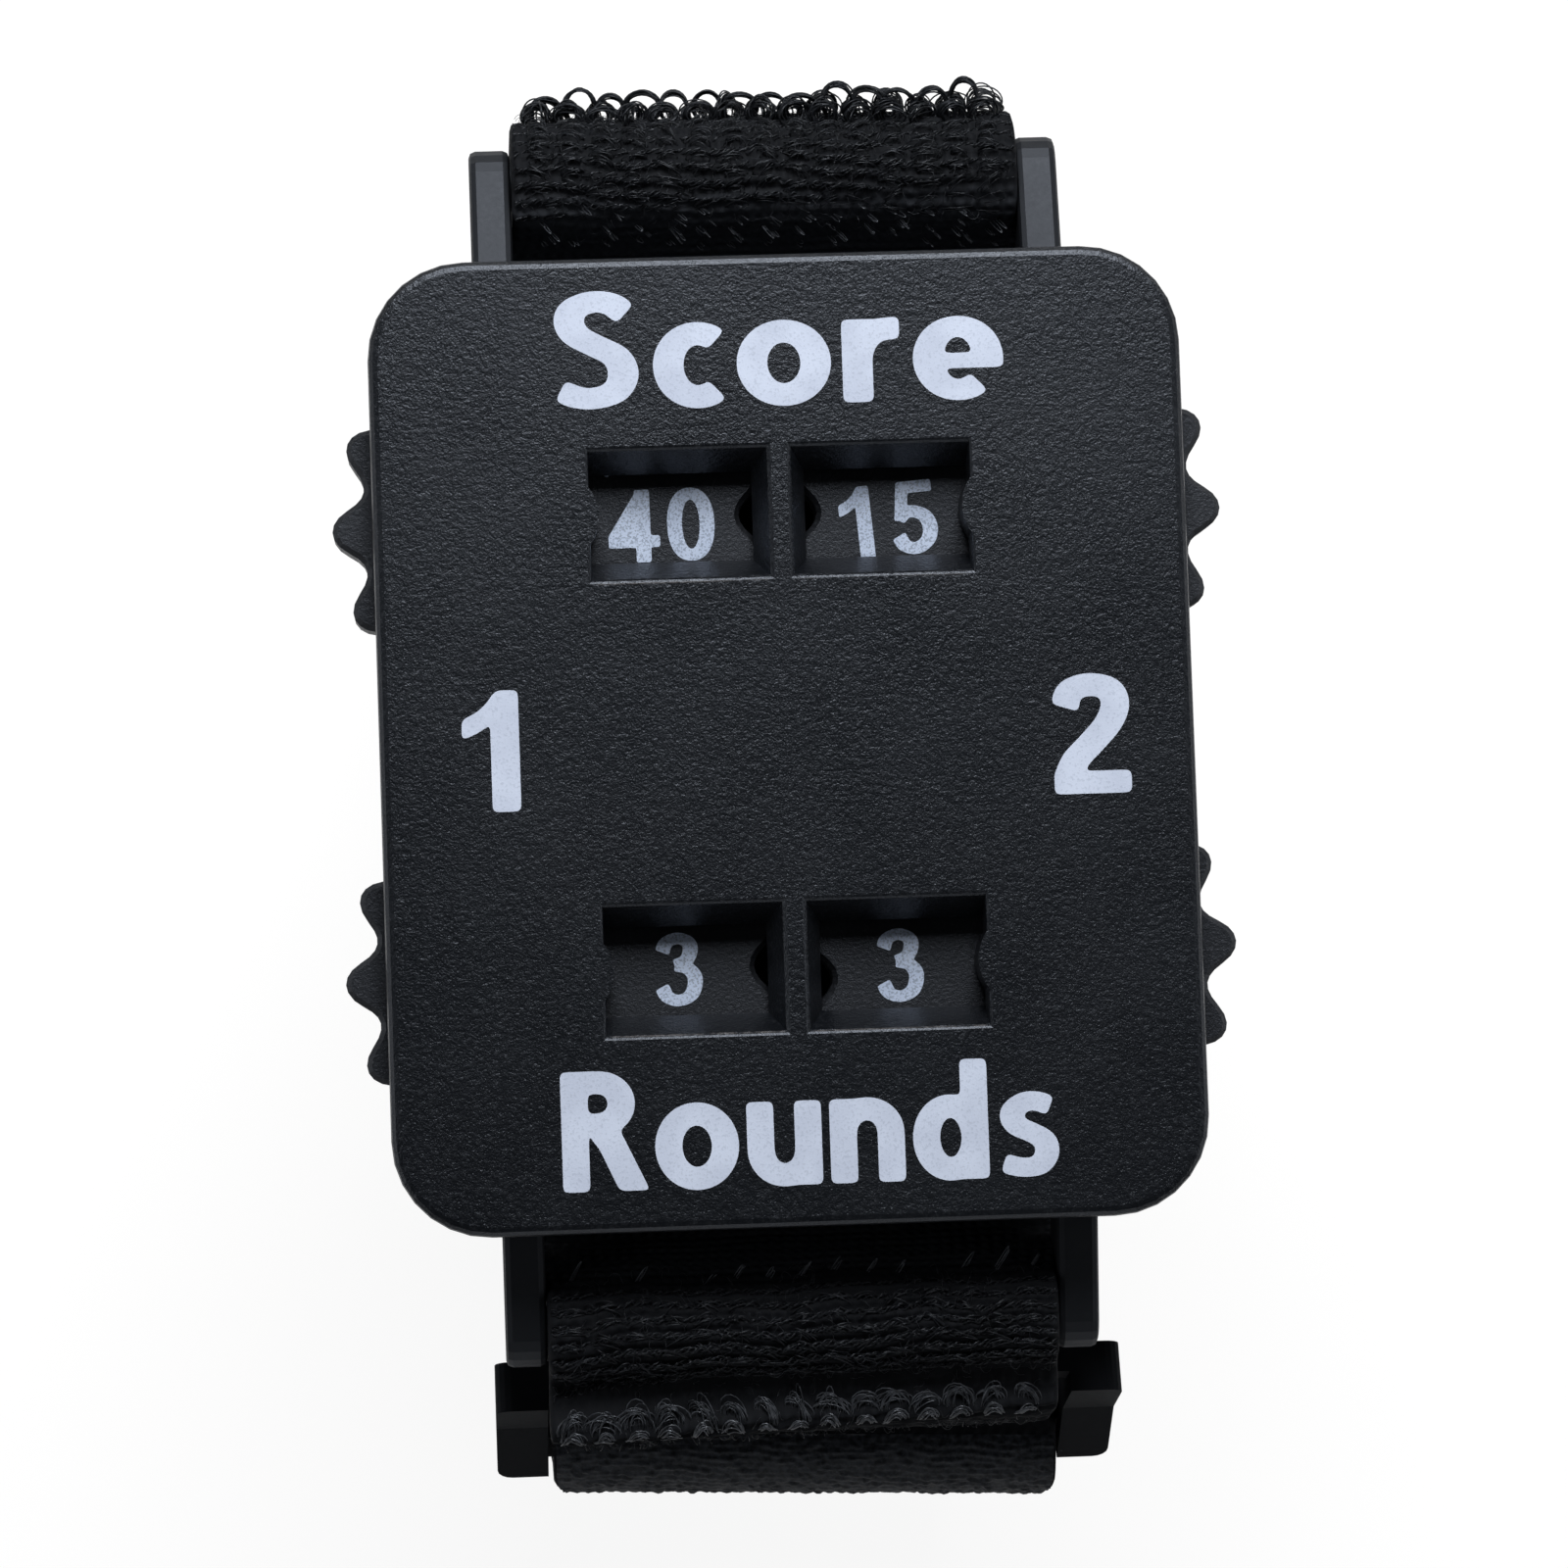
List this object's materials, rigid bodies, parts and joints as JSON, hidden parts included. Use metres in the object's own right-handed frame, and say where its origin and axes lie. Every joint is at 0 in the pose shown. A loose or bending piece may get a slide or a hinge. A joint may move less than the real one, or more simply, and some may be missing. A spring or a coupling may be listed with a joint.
{
  "type": "wrist score counter",
  "caption": "Flat rounded case with numbered thumb wheels behind recessed windows, on a closed hook-and-loop wrist strap with a cinch ring",
  "frame": {"origin": "on the flat underside of the closed strap, which it stands on, below the middle of the case", "axes": "+Z out of the display face, +Y to the top of the display, +X to its right"},
  "size_m": [0.0452, 0.072, 0.0563],
  "materials": {
    "black_plastic": "fine moulded grain",
    "wheel_plastic": "smooth satin with white numbers",
    "ring_plastic": "smooth satin",
    "webbing": "woven with loop pile outside",
    "hook_tape": "moulded hooks",
    "steel": "plain"
  },
  "bodies": {
    "case": {"front_cover": "black_plastic", "back_case": "black_plastic", "upper_washer_left": "steel", "upper_washer_right": "steel", "lower_washer_left": "steel", "lower_washer_right": "steel", "case_screw_1": "steel", "case_screw_2": "steel", "case_screw_3": "steel", "case_screw_4": "steel", "strap_band": "webbing", "hook_patch": "hook_tape"},
    "upper_wheel_left": {"upper_wheel_left": "wheel_plastic"},
    "upper_wheel_right": {"upper_wheel_right": "wheel_plastic"},
    "lower_wheel_left": {"lower_wheel_left": "wheel_plastic"},
    "lower_wheel_right": {"lower_wheel_right": "wheel_plastic"},
    "ring": {"cinch_ring": "ring_plastic"}
  },
  "joints": [
    {"name": "upper_wheel_left_spin", "type": "hinge", "parent": "case", "child": "upper_wheel_left", "pos_m": [-0.01155, 0.01145, 0.0521], "axis": [0, 0, 1], "continuous": true},
    {"name": "upper_wheel_right_spin", "type": "hinge", "parent": "case", "child": "upper_wheel_right", "pos_m": [0.01155, 0.01145, 0.0521], "axis": [0, 0, 1], "continuous": true},
    {"name": "lower_wheel_left_spin", "type": "hinge", "parent": "case", "child": "lower_wheel_left", "pos_m": [-0.01155, -0.01145, 0.0521], "axis": [0, 0, 1], "continuous": true},
    {"name": "lower_wheel_right_spin", "type": "hinge", "parent": "case", "child": "lower_wheel_right", "pos_m": [0.01155, -0.01145, 0.0521], "axis": [0, 0, 1], "continuous": true},
    {"name": "ring_swing", "type": "hinge", "parent": "case", "child": "ring", "pos_m": [0, -0.032, 0.0444], "axis": [1, 0, 0], "range_deg": [-2.5, 2.5]}
  ]
}
